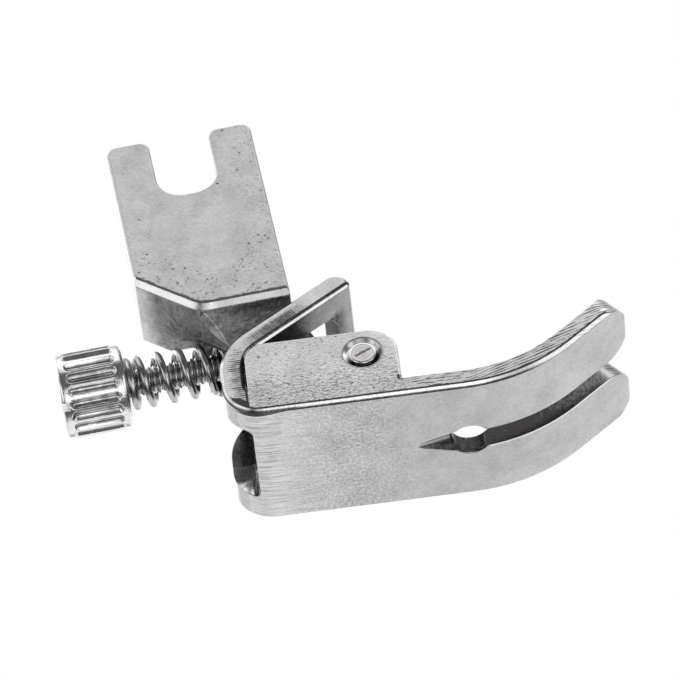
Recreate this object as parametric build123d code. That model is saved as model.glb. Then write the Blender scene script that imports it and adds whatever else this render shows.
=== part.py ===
from build123d import *
import os
from math import asin, atan2, cos, radians, sin, tan

# Presser foot with a hinged, slit shoe and a screw that limits how far the toes lift. Millimetres.
# X points to the toes, Z up along the presser bar, and -Y to the side with the clamp screw.
# The origin is on the presser bar's axis, at the ledge that the end of the bar stops on.

# Presser bar seat and fork
BAR_DIAMETER = 7.2
BAR_CLEARANCE = 0.05
CLAMP_HEIGHT = 11.0
FORK_SLOT = 4.5
FORK_SLOT_CORNER = 1.9
FORK_TOP = 14.7
FORK_CORNER = 0.8

# Shank block
SHANK_WIDTH = 10.9
CLAMP_FACE = 6.3
BLOCK_DROP = 2.75
HEEL_BEVEL_RUN = 4.15
HEEL_BEVEL_RISE = 3.6
HEEL_BEVEL_ROUND = 2.2
LOWER_BEVEL = 0.4
EDGE_BREAK = 0.15

# Tongue between the ears
TONGUE_WIDTH = 6.2
COVE_RADIUS = 2.6
TONGUE_BACK = 0.83
TONGUE_SHOULDER = 6.4
TONGUE_FRONT = 5.95
TONGUE_FRONT_LEAN = 19.0
TONGUE_NECK_DROP = 6.0
HUB_RADIUS = 2.4
ARM_RELIEF = 0.2

# Hinge
PIN_FORWARD = 9.53
PIN_DROP = 9.7
PIN_DIAMETER = 2.0
PIN_RUNNING_FIT = 0.04
PIN_END_ROUND = 0.12
STAKE_MARK_LENGTH = 1.3
STAKE_MARK_WIDTH = 0.16
STAKE_MARK_DEPTH = 0.12
STAKE_MARK_TURN = 27.0
STAKE_DIAMETER = 2.85
STAKE_DEPTH = 0.3
TOE_DROOP = 4.74
TOE_FALL = 5.0

# Shoe: a strip that runs from the arm's nose round the heel to the toes, with two ears on it
SHOE_WIDTH = 12.1
STRIP = 1.68
STRIP_EDGE = 0.25
PIN_HEIGHT = 4.36
HEEL_BEHIND_PIN = 10.41
HEEL_BEND = 2.8
ARM_CORNER_HEIGHT = 6.45
ARM_BEND = 4.4
ARM_RISE = 33.4
ARM_LENGTH = 11.2
ARM_NOSE = 1.05
ARM_NOSE_UNDER = 0.35
SOLE_FLAT = 7.0
TOE_BEND = 13.0
TOE_RISE = 38.0
TOE_REACH = 19.35
TOE_CORNER = 2.3
TOE_TIP_ROUND = 1.0
TOE_TIP_UNDER = 0.3

# Slot that lets the tongue and the screw through the heel and the arm
SIDE_STRAP = 2.35
SLOT_STEP = 0.15
HEEL_SLOT_CORNER = 0.55
ARM_SLOT_CORNER = 1.2
CROSS_BAR = 1.6

# Ears
EAR_CLEARANCE = 0.12
EAR_GAP = 0.08
EAR_FRONT = 2.57
EAR_TOP = 6.55
EAR_FRONT_ROUND = 2.2
EAR_BACK_ROUND = 1.6
EAR_RELIEF = 0.16

# Needle hole, toe slit and thread groove
NEEDLE_FORWARD = 7.05
NEEDLE_HOLE = 2.7
NEEDLE_CHAMFER = 0.18
NEEDLE_LEAD_IN = 0.3
TOE_SLIT = 1.82
GROOVE_LENGTH = 4.0
GROOVE_WIDTH = 2.0
GROOVE_DEPTH = 0.75

# Adjusting screw
SCREW_DROP = 3.2
SCREW_DIAMETER = 2.1
SCREW_FIT = 0.03
SCREW_HEAD_BACK = 12.4
HEAD_DIAMETER = 6.3
HEAD_LENGTH = 5.03
HEAD_EDGE = 0.35
FLUTES = 20
FLUTE_DEPTH = 0.34
FLUTE_RADIUS = 0.46
FLUTE_LAND = 0.75
TIP_GAP = 1.9
DRIVER_SLOT = 0.6
DRIVER_SLOT_DEPTH = 0.55
DRIVER_SLOT_TURN = 56.0

# Spring
SPRING_DIAMETER = 4.06
SPRING_WIRE = 0.6
SPRING_TURNS = 5.75
SPRING_SEAT_X = 1.33
SPRING_SEAT_CLEARANCE = 0.35

# Worked out from the sizes above
BAR_SEAT_RADIUS = BAR_DIAMETER / 2 + BAR_CLEARANCE
HALF_SHANK = SHANK_WIDTH / 2
HALF_SHOE = SHOE_WIDTH / 2
HALF_TONGUE = TONGUE_WIDTH / 2
SOLE_Z = -PIN_HEIGHT
ARM_DIRECTION = Vector(cos(radians(ARM_RISE)), 0, sin(radians(ARM_RISE)))
ARM_CORNER = Vector(-HEEL_BEHIND_PIN, 0, SOLE_Z + ARM_CORNER_HEIGHT)
SLOT_END = ARM_LENGTH - CROSS_BAR
BORE_LENGTH = 4 * SHANK_WIDTH


def across(sketch, width):
    """A sketch in the XZ plane, extruded to both sides of the middle plane."""
    return extrude(sketch, width / 2, both=True)


def rod(x_start, x_end, radius, z=0.0):
    """A round bar along X."""
    plane = Plane((x_start, 0, z), x_dir=(0, 1, 0), z_dir=(1, 0, 0))
    return extrude(plane * Circle(radius), x_end - x_start)


def cross_pin(x, z, radius, y_start, y_end):
    """A round bar along Y."""
    plane = Plane((x, y_start, z), x_dir=(1, 0, 0), z_dir=(0, 1, 0))
    return extrude(plane * Circle(radius), y_end - y_start)


def hung_on_pin(part):
    """A piece of the shoe, drawn flat with the hinge at its origin, in its place on the shank."""
    drooped = part.rotate(Axis.Y, TOE_DROOP)
    return drooped.translate((PIN_FORWARD, 0, -PIN_DROP))


def block():
    """The fork and block, from the clamp screw's face to the presser bar's axis."""
    outline = Plane.XZ * Polygon(
        (-HALF_SHANK, FORK_TOP),
        (-HALF_SHANK, HEEL_BEVEL_RISE - BLOCK_DROP),
        (HEEL_BEVEL_RUN - HALF_SHANK, -BLOCK_DROP),
        (HALF_SHANK, -BLOCK_DROP),
        (HALF_SHANK, FORK_TOP),
        align=None,
    )
    top_corners = outline.vertices().group_by(Axis.Z)[-1]
    bevel_corner = outline.vertices().group_by(Axis.Z)[0].sort_by(Axis.X)[0]
    outline = fillet(top_corners, FORK_CORNER)
    outline = fillet(outline.vertices().sort_by_distance(bevel_corner)[0], HEEL_BEVEL_ROUND)

    slot_bottom = CLAMP_HEIGHT - FORK_SLOT / 2
    slot_height = FORK_TOP - slot_bottom + FORK_CORNER
    slot = Plane.XZ * Pos(0, slot_bottom + slot_height / 2) * Rectangle(FORK_SLOT, slot_height)
    slot = fillet(slot.vertices().group_by(Axis.Z)[0], FORK_SLOT_CORNER)
    fork = outline - slot
    mouth = fork.vertices().group_by(Axis.Z)[-1].sort_by(SortBy.DISTANCE)
    fork = fillet([v for v in mouth if abs(abs(v.X) - FORK_SLOT / 2) < EDGE_BREAK], FORK_CORNER)

    solid = extrude(fork, CLAMP_FACE)
    face = solid.faces().sort_by(Axis.Y)[0]
    low = -BLOCK_DROP + HEEL_BEVEL_RISE
    upper_edges = [e for e in face.edges() if e.center().Z >= low]
    solid = chamfer(upper_edges, EDGE_BREAK)
    face = solid.faces().sort_by(Axis.Y)[0]
    lower_edges = [e for e in face.edges() if e.center().Z < low]
    return chamfer(lower_edges, LOWER_BEVEL)


def tongue():
    """The web below the bar that reaches down to the hinge, with a cove under the block's overhang."""
    hub = Vector(PIN_FORWARD, -PIN_DROP)
    bevel_slope = HEEL_BEVEL_RISE / HEEL_BEVEL_RUN
    bevel_foot = HEEL_BEVEL_RUN - HALF_SHANK
    shoulder_top = -BLOCK_DROP - bevel_slope * (TONGUE_BACK - bevel_foot)
    lean = tan(radians(TONGUE_FRONT_LEAN))
    neck = Vector(TONGUE_FRONT + lean * (TONGUE_NECK_DROP - BLOCK_DROP), -TONGUE_NECK_DROP)
    shoulder = Vector(TONGUE_BACK, -TONGUE_SHOULDER)

    def tangent_point(outside, side):
        """Where a line from a point outside the hub touches it."""
        to_point = outside - hub
        angle = atan2(to_point.Y, to_point.X) + side * (radians(90) - asin(HUB_RADIUS / to_point.length))
        return hub + Vector(cos(angle), sin(angle)) * HUB_RADIUS

    web = Polygon(
        (bevel_foot, 0),
        (bevel_foot, -BLOCK_DROP),
        (TONGUE_BACK, shoulder_top),
        (shoulder.X, shoulder.Y),
        tangent_point(shoulder, 1),
        (hub.X, hub.Y),
        tangent_point(neck, -1),
        (neck.X, neck.Y),
        (TONGUE_FRONT - lean * BLOCK_DROP, 0),
        align=None,
    )
    profile = Plane.XZ * (web + Pos(hub.X, hub.Y) * Circle(HUB_RADIUS))
    wide = across(profile, 4 * CLAMP_FACE)

    deep = PIN_DROP + 2 * HUB_RADIUS
    middle = Pos(0, -deep / 2) * Rectangle(TONGUE_WIDTH, deep)
    flank = Pos(-HALF_TONGUE - COVE_RADIUS / 2, -BLOCK_DROP - COVE_RADIUS / 2)
    cove = flank * Rectangle(COVE_RADIUS, COVE_RADIUS)
    cove -= Pos(-HALF_TONGUE - COVE_RADIUS, -BLOCK_DROP - COVE_RADIUS) * Circle(COVE_RADIUS)
    core = extrude(Plane.YZ * middle, BORE_LENGTH, both=True)
    flare = extrude(Plane.YZ.offset(HALF_SHANK) * cove, -BORE_LENGTH)
    return wide & (core + flare)


def arm_relief():
    """Room under the block for the shoe's side straps when the toes hang lowest."""
    along = Plane(ARM_CORNER, x_dir=ARM_DIRECTION, z_dir=(0, -1, 0))
    strap = along * Pos(ARM_LENGTH / 2, ARM_RELIEF - STRIP) * Rectangle(2 * ARM_LENGTH, 2 * STRIP)
    inside = SHOE_WIDTH - 2 * SIDE_STRAP - 2 * ARM_RELIEF
    room = across(strap, 4 * CLAMP_FACE) - Box(BORE_LENGTH, inside, BORE_LENGTH)
    return hung_on_pin(room.rotate(Axis.Y, TOE_FALL))


def shank():
    """Fork, block and tongue, cast in one."""
    body = block() + tongue()
    bar_top = FORK_TOP + FORK_CORNER
    body -= extrude(Plane.XY * Circle(BAR_SEAT_RADIUS), bar_top)
    body -= arm_relief()
    screw_z = -SCREW_DROP
    body -= rod(-BORE_LENGTH / 2, BORE_LENGTH / 2, SCREW_DIAMETER / 2 + SCREW_FIT, screw_z)
    seat_radius = SPRING_DIAMETER / 2 + SPRING_SEAT_CLEARANCE
    body -= rod(-BORE_LENGTH / 2, SPRING_SEAT_X, seat_radius, screw_z)
    bore_radius = PIN_DIAMETER / 2 + PIN_RUNNING_FIT
    body -= cross_pin(PIN_FORWARD, -PIN_DROP, bore_radius, -HALF_SHOE, HALF_SHOE)
    return body


def strip_profile():
    """Side view of the strip: the nose of the arm, the heel, the sole and the toes, at one thickness."""
    nose = ARM_CORNER + ARM_DIRECTION * ARM_LENGTH
    toe_corner = toe_corner_x()
    toe_end_z = SOLE_Z + (TOE_REACH - toe_corner) * tan(radians(TOE_RISE))
    toe_end = Vector(TOE_REACH, 0, toe_end_z)
    with BuildSketch(Plane.XZ) as drawing:
        with BuildLine():
            FilletPolyline(
                (nose.X, nose.Z),
                (ARM_CORNER.X, ARM_CORNER.Z),
                (-HEEL_BEHIND_PIN, SOLE_Z),
                (toe_corner, SOLE_Z),
                (TOE_REACH, toe_end_z),
                radius=(ARM_BEND, HEEL_BEND, TOE_BEND),
            )
            offset(amount=STRIP, side=Side.LEFT)
        make_face()
    profile = drawing.sketch
    nose_corners = profile.vertices().sort_by_distance(nose)[:2]
    profile = fillet(nose_corners[0], ARM_NOSE)
    profile = fillet(profile.vertices().sort_by_distance(nose_corners[1])[0], ARM_NOSE_UNDER)
    toe_corners = profile.vertices().sort_by_distance(toe_end)[:2]
    profile = fillet(toe_corners[0], TOE_TIP_UNDER)
    return fillet(profile.vertices().sort_by_distance(toe_corners[1])[0], TOE_TIP_ROUND)


def heel_slot(profile):
    """The opening through heel and arm, from the sole's rounded back edge up to the cross bar."""
    width = SHOE_WIDTH - 2 * SIDE_STRAP
    heel_x = -HEEL_BEHIND_PIN + STRIP + SLOT_STEP
    waist = SOLE_Z + 2 * STRIP
    heel = Pos(heel_x - HEEL_BEHIND_PIN / 2, 0) * Rectangle(HEEL_BEHIND_PIN, width)
    heel = fillet(heel.vertices().group_by(Axis.X)[-1], HEEL_SLOT_CORNER)
    heel_room = extrude(Plane.XY.offset(2 * SOLE_Z) * heel, waist - 2 * SOLE_Z)

    end = ARM_CORNER + ARM_DIRECTION * SLOT_END
    end_normal = Vector(ARM_DIRECTION.Z, 0, -ARM_DIRECTION.X)
    below = end + end_normal * (2 * STRIP)
    above = end - end_normal * (2 * STRIP)
    region = Plane.XZ * Polygon(
        (-2 * HEEL_BEHIND_PIN, waist),
        (heel_x, waist),
        (below.X, below.Z),
        (above.X, above.Z),
        (-2 * HEEL_BEHIND_PIN, 2 * EAR_TOP),
        align=None,
    )
    arm_room = across(profile & region, width)
    end_face = arm_room.faces().sort_by(lambda f: f.center().dot(ARM_DIRECTION))[-1]
    arm_room = fillet(end_face.edges().filter_by(Axis.Y, reverse=True), ARM_SLOT_CORNER)
    return heel_room + arm_room


def ears():
    """The two upright cheeks that carry the hinge pin."""
    back = -HEEL_BEHIND_PIN + STRIP + EAR_GAP
    height = EAR_TOP - STRIP / 2
    middle = Pos((back + EAR_FRONT) / 2, SOLE_Z + EAR_TOP - height / 2)
    cheek = Plane.XZ * middle * Rectangle(EAR_FRONT - back, height)
    top = cheek.vertices().group_by(Axis.Z)[-1].sort_by(Axis.X)
    back_corner = top[0]
    cheek = fillet(top[1], EAR_FRONT_ROUND)
    cheek = fillet(cheek.vertices().sort_by_distance(back_corner)[0], EAR_BACK_ROUND)
    channel = Box(BORE_LENGTH, TONGUE_WIDTH + 2 * EAR_CLEARANCE, BORE_LENGTH)
    return across(cheek, SHOE_WIDTH) - channel


def thread_groove():
    """The tapered groove that leads the thread back from the needle hole along the sole."""
    half = GROOVE_WIDTH / 2
    sink = (half**2 - GROOVE_DEPTH**2) / (2 * GROOVE_DEPTH)
    radius = GROOVE_DEPTH + sink
    length = GROOVE_LENGTH - NEEDLE_HOLE / 2
    tip = NEEDLE_FORWARD - GROOVE_LENGTH
    slope = (radius - sink) / length
    apex = tip - sink / slope
    profile = Plane.XZ * Polygon(
        (apex, SOLE_Z - sink),
        (NEEDLE_FORWARD, SOLE_Z - sink),
        (NEEDLE_FORWARD, SOLE_Z - sink + slope * (NEEDLE_FORWARD - apex)),
        align=None,
    )
    return revolve(profile, Axis((0, 0, SOLE_Z - sink), (1, 0, 0)))


def toe_corner_x():
    """Where the lines of the sole and of the toes' underside would meet."""
    return SOLE_FLAT + TOE_BEND * tan(radians(TOE_RISE / 2))


def toe_trim():
    """Room for the shoe behind the ends of its toes, whose four corners are rounded."""
    rise = radians(TOE_RISE)
    reach = (TOE_REACH - toe_corner_x()) / cos(rise)
    back = 2 * HEEL_BEHIND_PIN
    outline = Polygon(
        (-back, -SHOE_WIDTH),
        (-TOE_BEND, -SHOE_WIDTH),
        (-TOE_BEND, -HALF_SHOE),
        (reach, -HALF_SHOE),
        (reach, HALF_SHOE),
        (-TOE_BEND, HALF_SHOE),
        (-TOE_BEND, SHOE_WIDTH),
        (-back, SHOE_WIDTH),
        align=None,
    )
    outline -= Pos(reach, 0) * Rectangle(4 * TOE_CORNER, TOE_SLIT)
    toe_width = HALF_SHOE - TOE_SLIT / 2
    corner = min(TOE_CORNER, (toe_width - STRIP_EDGE) / 2)
    outline = fillet(outline.vertices().group_by(Axis.X)[-1], corner)
    along = (cos(rise), 0, sin(rise))
    plane = Plane((toe_corner_x(), 0, SOLE_Z), x_dir=along, z_dir=(-sin(rise), 0, cos(rise)))
    return extrude(plane * outline, BORE_LENGTH, both=True)


def bevelled_sides(part, size):
    """A piece with the edges of its two outer sides broken."""
    sides = part.faces().filter_by(Axis.Y).group_by(lambda f: abs(f.center().Y))[-1]
    return chamfer(sides.edges(), size)


def shoe():
    """Sole, ears and slotted arm in one piece."""
    profile = strip_profile()
    strip = bevelled_sides(across(profile, SHOE_WIDTH), STRIP_EDGE)
    slit_length = TOE_REACH
    slit = Pos(NEEDLE_FORWARD + slit_length / 2, 0, 0) * Box(slit_length, TOE_SLIT, BORE_LENGTH)
    strip = (strip - slit) & toe_trim()
    body = strip - heel_slot(profile) + bevelled_sides(ears(), EDGE_BREAK)
    needle = Pos(NEEDLE_FORWARD, 0, SOLE_Z)
    body -= needle * Cylinder(NEEDLE_HOLE / 2, 2 * PIN_HEIGHT)
    chamfer_cone = Cone(NEEDLE_HOLE / 2 + 2 * NEEDLE_CHAMFER, NEEDLE_HOLE / 2, 2 * NEEDLE_CHAMFER)
    body -= needle * chamfer_cone
    lead_in = Cone(NEEDLE_HOLE / 2, NEEDLE_HOLE / 2 + 2 * NEEDLE_LEAD_IN, 2 * NEEDLE_LEAD_IN)
    body -= Pos(0, 0, STRIP) * needle * lead_in
    body -= thread_groove()
    body -= cross_pin(0, 0, PIN_DIAMETER / 2, -SHOE_WIDTH, SHOE_WIDTH)
    for side in (-1, 1):
        face_y = side * HALF_SHOE
        plane = Plane((0, face_y, 0), x_dir=(1, 0, 0), z_dir=(0, side, 0))
        stake = plane * Pos(0, 0, -STAKE_DEPTH / 2) * Cone(PIN_DIAMETER / 2, STAKE_DIAMETER / 2, STAKE_DEPTH)
        body -= stake
    body -= cross_pin(EAR_FRONT, SOLE_Z + STRIP, EAR_RELIEF, -HALF_SHOE, HALF_SHOE)
    return hung_on_pin(body)


def hinge_pin():
    """The pin, flush with the ears, its ends rounded over."""
    pin = cross_pin(0, 0, PIN_DIAMETER / 2, -HALF_SHOE, HALF_SHOE)
    pin = fillet(pin.edges().filter_by(GeomType.CIRCLE), PIN_END_ROUND)
    mark = Box(STAKE_MARK_LENGTH, 2 * STAKE_MARK_DEPTH, STAKE_MARK_WIDTH)
    pin -= Pos(0, -HALF_SHOE, 0) * mark.rotate(Axis.Y, -STAKE_MARK_TURN)
    return hung_on_pin(pin)


def screw_tip_x():
    """How far forward the screw reaches: short of the cross bar by the tip's gap."""
    droop = radians(TOE_DROOP)
    end = ARM_CORNER + ARM_DIRECTION * SLOT_END
    rise = PIN_DROP - SCREW_DROP
    end_x = end.X * cos(droop) + end.Z * sin(droop)
    end_z = end.Z * cos(droop) - end.X * sin(droop)
    wall_lean = tan(radians(ARM_RISE - TOE_DROOP))
    return PIN_FORWARD + end_x + (end_z - rise) * wall_lean - TIP_GAP


def adjusting_screw():
    """Fluted head and shaft, turned in one, with a domed tip."""
    z = -SCREW_DROP
    back = -SCREW_HEAD_BACK
    front = back + HEAD_LENGTH
    head = rod(back, front, HEAD_DIAMETER / 2, z)
    head = fillet(head.edges().filter_by(GeomType.CIRCLE), HEAD_EDGE)
    reach = HEAD_DIAMETER / 2 - FLUTE_DEPTH + FLUTE_RADIUS
    for number in range(FLUTES):
        angle = radians(360 * number / FLUTES)
        plane = Plane((back + FLUTE_LAND, 0, z), x_dir=(0, 1, 0), z_dir=(1, 0, 0))
        flute = plane * Pos(reach * cos(angle), reach * sin(angle)) * Circle(FLUTE_RADIUS)
        head -= extrude(flute, HEAD_LENGTH - 2 * FLUTE_LAND)
    slot = Box(2 * DRIVER_SLOT_DEPTH, 2 * HEAD_DIAMETER, DRIVER_SLOT)
    head -= Pos(back, 0, z) * slot.rotate(Axis.X, DRIVER_SLOT_TURN)
    tip = screw_tip_x()
    shaft = rod(front, tip, SCREW_DIAMETER / 2, z)
    tip_edge = shaft.edges().filter_by(GeomType.CIRCLE).sort_by(Axis.X)[-1]
    shaft = fillet(tip_edge, SCREW_DIAMETER / 4)
    return head + shaft


def spring():
    """Compression spring on the screw, its ends ground flat on the head and on the shank's seat."""
    start = -SCREW_HEAD_BACK + HEAD_LENGTH
    length = SPRING_SEAT_X - start
    radius = (SPRING_DIAMETER - SPRING_WIRE) / 2
    plane = Plane((start, 0, -SCREW_DROP), x_dir=(0, 0, 1), z_dir=(1, 0, 0))
    coil = plane * Helix(length / SPRING_TURNS, length, radius)
    wire = sweep(Plane(coil @ 0, z_dir=coil % 0) * Circle(SPRING_WIRE / 2), path=coil, is_frenet=True)
    around = 2 * SPRING_DIAMETER
    return wire & Pos(start + length / 2, 0, -SCREW_DROP) * Box(length, around, around)


NODES = {
    "shank": shank,
    "shoe": shoe,
    "hinge_pin": hinge_pin,
    "adjusting_screw": adjusting_screw,
    "spring": spring,
}

os.makedirs("parts", exist_ok=True)
for name, make in NODES.items():
    part = make()
    part.label = name
    export_step(part, f"parts/{name}.step")
    print(name, round(part.volume, 2), "mm3")
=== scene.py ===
# %% [markdown]
# # A plated presser foot, dressed for its portrait
# The steel foot of a sewing machine: a forked shank that clamps to the presser bar, a hinged shoe
# with slit, upturned toes, and a small sprung screw that limits how far the toes can lift.
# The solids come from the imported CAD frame, in metres, and they already stand where they belong.
# So this lesson only adds what a solid modeller leaves out: the screw's thread and fluted head,
# the spring with its closed coils, the plated finishes, the light and the camera.

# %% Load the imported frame
import math

import bmesh
import bpy
from mathutils import Matrix, Quaternion, Vector


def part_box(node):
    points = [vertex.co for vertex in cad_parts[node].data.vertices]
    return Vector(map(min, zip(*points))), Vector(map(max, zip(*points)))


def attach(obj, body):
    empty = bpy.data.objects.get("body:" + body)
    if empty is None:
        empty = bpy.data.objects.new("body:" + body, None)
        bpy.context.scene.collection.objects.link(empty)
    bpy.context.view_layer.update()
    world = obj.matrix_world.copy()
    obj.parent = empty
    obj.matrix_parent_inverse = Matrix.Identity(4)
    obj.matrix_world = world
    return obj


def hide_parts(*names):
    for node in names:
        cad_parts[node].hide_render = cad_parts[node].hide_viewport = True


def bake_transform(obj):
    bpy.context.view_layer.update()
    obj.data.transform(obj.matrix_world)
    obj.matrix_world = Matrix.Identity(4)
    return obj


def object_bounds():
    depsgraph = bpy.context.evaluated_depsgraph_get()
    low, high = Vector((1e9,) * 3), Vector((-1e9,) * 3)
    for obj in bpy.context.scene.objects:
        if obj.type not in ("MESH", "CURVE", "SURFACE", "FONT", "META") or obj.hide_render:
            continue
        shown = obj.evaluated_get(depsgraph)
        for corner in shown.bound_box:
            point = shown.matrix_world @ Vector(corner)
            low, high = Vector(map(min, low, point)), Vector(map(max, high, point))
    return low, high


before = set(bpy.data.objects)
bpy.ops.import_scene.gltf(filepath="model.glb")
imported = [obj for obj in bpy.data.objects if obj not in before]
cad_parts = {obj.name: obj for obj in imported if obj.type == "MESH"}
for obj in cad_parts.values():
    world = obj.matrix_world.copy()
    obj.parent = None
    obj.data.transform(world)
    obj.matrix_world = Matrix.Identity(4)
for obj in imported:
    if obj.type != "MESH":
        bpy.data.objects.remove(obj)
cad_low, cad_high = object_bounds()
MM = 0.001
print("nodes:", ", ".join(sorted(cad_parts)))
print("CAD box in mm:", [round(v / MM, 2) for v in cad_high - cad_low])

# %% [markdown]
# ## The camera
# The photograph was taken with a long lens, from below the sole and from the clamp screw's side.
# A camera can be placed by its matrix, but an aim point, two angles and a roll are easier to read
# and to correct: the azimuth and elevation say from where, and the roll turns the picture upright.

# %% Place the camera by aim, angles and roll
AIM = Vector((8.782, 1.372, -1.584)) * MM
CAMERA_DISTANCE = 468.47 * MM
AZIMUTH, ELEVATION, ROLL = (math.radians(a) for a in (-4.742, -41.292, -13.958))
LENS, SENSOR = 335.57, 36.0
NEAREST, FARTHEST = 0.01, 20.0


def placed(name, data):
    """A new object in the scene."""
    made = bpy.data.objects.new(name, data)
    bpy.context.scene.collection.objects.link(made)
    return made


towards_camera = Vector((
    math.sin(AZIMUTH) * math.cos(ELEVATION),
    -math.cos(AZIMUTH) * math.cos(ELEVATION),
    math.sin(ELEVATION),
))
camera = placed("camera", bpy.data.cameras.new("camera"))
camera.data.lens = LENS
camera.data.sensor_width = SENSOR
camera.data.clip_start = NEAREST
camera.data.clip_end = FARTHEST
camera.location = AIM + towards_camera * CAMERA_DISTANCE
camera.rotation_mode = "QUATERNION"
upright = (-towards_camera).to_track_quat("-Z", "Y")
camera.rotation_quaternion = upright @ Quaternion((0, 0, 1), ROLL)
bpy.context.scene.camera = camera
bpy.context.scene.view_settings.view_transform = "Standard"
print("camera at mm:", [round(v / MM, 1) for v in camera.location])

# %% [markdown]
# ## Small tools for shader nodes
# Every finish is built from nodes, so a few helpers keep the cells short: one adds a node and fills
# its sockets, one does sums, and one turns a value into a soft mask between two limits. Masks are
# joined like words: both, any of, without. A weighted total of masks makes a tone.

# %% Helpers that add and join nodes


def add(tree, kind, inputs=None, **settings):
    """Add a node, set its options, and fill its inputs with values or with other nodes' outputs."""
    made = tree.nodes.new(kind)
    for option, value in settings.items():
        setattr(made, option, value)
    for name, value in (inputs or {}).items():
        if isinstance(value, bpy.types.NodeSocket):
            tree.links.new(value, made.inputs[name])
        else:
            made.inputs[name].default_value = value
    return made


def sums(tree, operation, *values):
    """A Math node's result."""
    return add(tree, "ShaderNodeMath", dict(enumerate(values)), operation=operation).outputs[0]


def vectors(tree, operation, *values):
    """A Vector Math node's result."""
    made = add(tree, "ShaderNodeVectorMath", dict(enumerate(values)), operation=operation)
    return made.outputs["Value" if operation in ("DOT_PRODUCT", "LENGTH") else "Vector"]


def total(tree, start, *terms):
    """A start value plus pairs of a value and its weight."""
    result = start
    for value, weight in terms:
        result = sums(tree, "MULTIPLY_ADD", value, weight, result)
    return result


def either(tree, choice, yes, no):
    """One value where the choice is 1, the other where it is 0."""
    return total(tree, no, (choice, sums(tree, "SUBTRACT", yes, no)))


print("node helpers ready")

# %% Helpers that make and join masks


def mask(tree, value, low, high):
    """0 at low, 1 at high, and a soft step between them; low may be the larger one."""
    inputs = {"Value": value, "From Min": low, "From Max": high}
    return add(tree, "ShaderNodeMapRange", inputs, interpolation_type="SMOOTHSTEP").outputs[0]


def both(tree, *masks):
    """1 only where every mask is 1."""
    result = masks[0]
    for extra in masks[1:]:
        result = sums(tree, "MULTIPLY", result, extra)
    return result


def any_of(tree, *masks):
    """1 where at least one mask is 1."""
    result = masks[0]
    for extra in masks[1:]:
        result = sums(tree, "MAXIMUM", result, extra)
    return result


def without(tree, value, *taken):
    """A mask with others taken out of it."""
    for extra in taken:
        value = both(tree, value, sums(tree, "SUBTRACT", 1.0, extra))
    return value


def between(tree, value, low, high, soft):
    """1 where a value lies between two limits, with soft ends."""
    rising = mask(tree, value, low - soft, low + soft)
    return both(tree, rising, mask(tree, value, high + soft, high - soft))


print("mask helpers ready")

# %% [markdown]
# ## Patterns in millimetres
# A texture can be laid on with unwrapped faces, or it can be solid, cut through the metal like the
# grain of wood. Solid noise needs no unwrapping and never shows a join, so it is used throughout.
# It is placed with object coordinates in millimetres, so a pit is as big as a real pit.

# %% Helpers that tell where a point is


def parts_of(tree, vector):
    """The three parts of a vector, by name."""
    return add(tree, "ShaderNodeSeparateXYZ", {0: vector}).outputs


def millimetres(tree):
    """Where a point of the piece is, in millimetres."""
    inputs = {0: add(tree, "ShaderNodeTexCoord").outputs["Object"], "Scale": 1 / MM}
    return add(tree, "ShaderNodeVectorMath", inputs, operation="SCALE").outputs[0]


def facing(tree):
    """Which way the surface faces."""
    return add(tree, "ShaderNodeTexCoord").outputs["Normal"]


def off_axis(tree, at, through, axis):
    """How far a point lies from a line through a given point along X, Y or Z."""
    across = {"X": (0, 1, 1), "Y": (1, 0, 1), "Z": (1, 1, 0)}[axis]
    spoke = vectors(tree, "MULTIPLY", vectors(tree, "SUBTRACT", at, through), across)
    return vectors(tree, "LENGTH", spoke)


def inset(tree, place, outline):
    """How far in from an outline a point lies, seen along Y.

    The outline is a list of (x, z, corner radius), drawn with the metal on its left.
    """
    spot = add(tree, "ShaderNodeCombineXYZ", {0: place["X"], 1: place["Z"]}).outputs[0]
    corners = [Vector(point[:2]) for point in outline]
    runs = [(after - before).normalized() for before, after in zip(corners, corners[1:])]

    def off_run(corner, run):
        from_corner = vectors(tree, "SUBTRACT", spot, (*corner, 0))
        return vectors(tree, "DOT_PRODUCT", from_corner, (-run.y, run.x, 0))

    def past(spoke, run):
        return sums(tree, "GREATER_THAN", vectors(tree, "DOT_PRODUCT", spoke, (*run, 0)), 0.0)

    depth = off_run(corners[0], runs[0])
    for point, before, after in zip(outline[1:], runs, runs[1:]):
        corner, radius = Vector(point[:2]), point[2]
        half_angle = math.acos(-before.dot(after)) / 2
        bend_start = corner - before * (radius / math.tan(half_angle))
        centre = bend_start + Vector((-before.y, before.x)) * radius
        spoke = vectors(tree, "SUBTRACT", spot, (*centre, 0))
        bend_depth = sums(tree, "SUBTRACT", radius, vectors(tree, "LENGTH", spoke))
        depth = either(tree, past(spoke, before), bend_depth, depth)
        depth = either(tree, past(spoke, after), off_run(corner, after), depth)
    return depth


print("place helpers ready")

# %% Helpers that draw patterns


def grain(tree, vector, scale, detail=3.0, stretch=(1, 1, 1)):
    """Noise with so many features in a millimetre, drawn out along an axis by a small factor."""
    drawn = vectors(tree, "MULTIPLY", vector, stretch)
    inputs = {"Vector": drawn, "Scale": scale, "Detail": detail, "Roughness": 0.6}
    return add(tree, "ShaderNodeTexNoise", inputs).outputs[0]


def swing(tree, noise):
    """Noise about zero instead of about a half."""
    return sums(tree, "SUBTRACT", noise, 0.5)


def drawn_out(tree, across, along, length):
    """A pattern's place that is stretched one way."""
    inputs = {0: across, 1: sums(tree, "MULTIPLY", along, length)}
    return add(tree, "ShaderNodeCombineXYZ", inputs).outputs[0]


def strokes(tree, across, along, scale, length, low, high):
    """Brush marks: dashes that are fine across and long along."""
    laid = drawn_out(tree, across, along, length)
    return mask(tree, grain(tree, laid, scale, 2.0), low, high)


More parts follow.
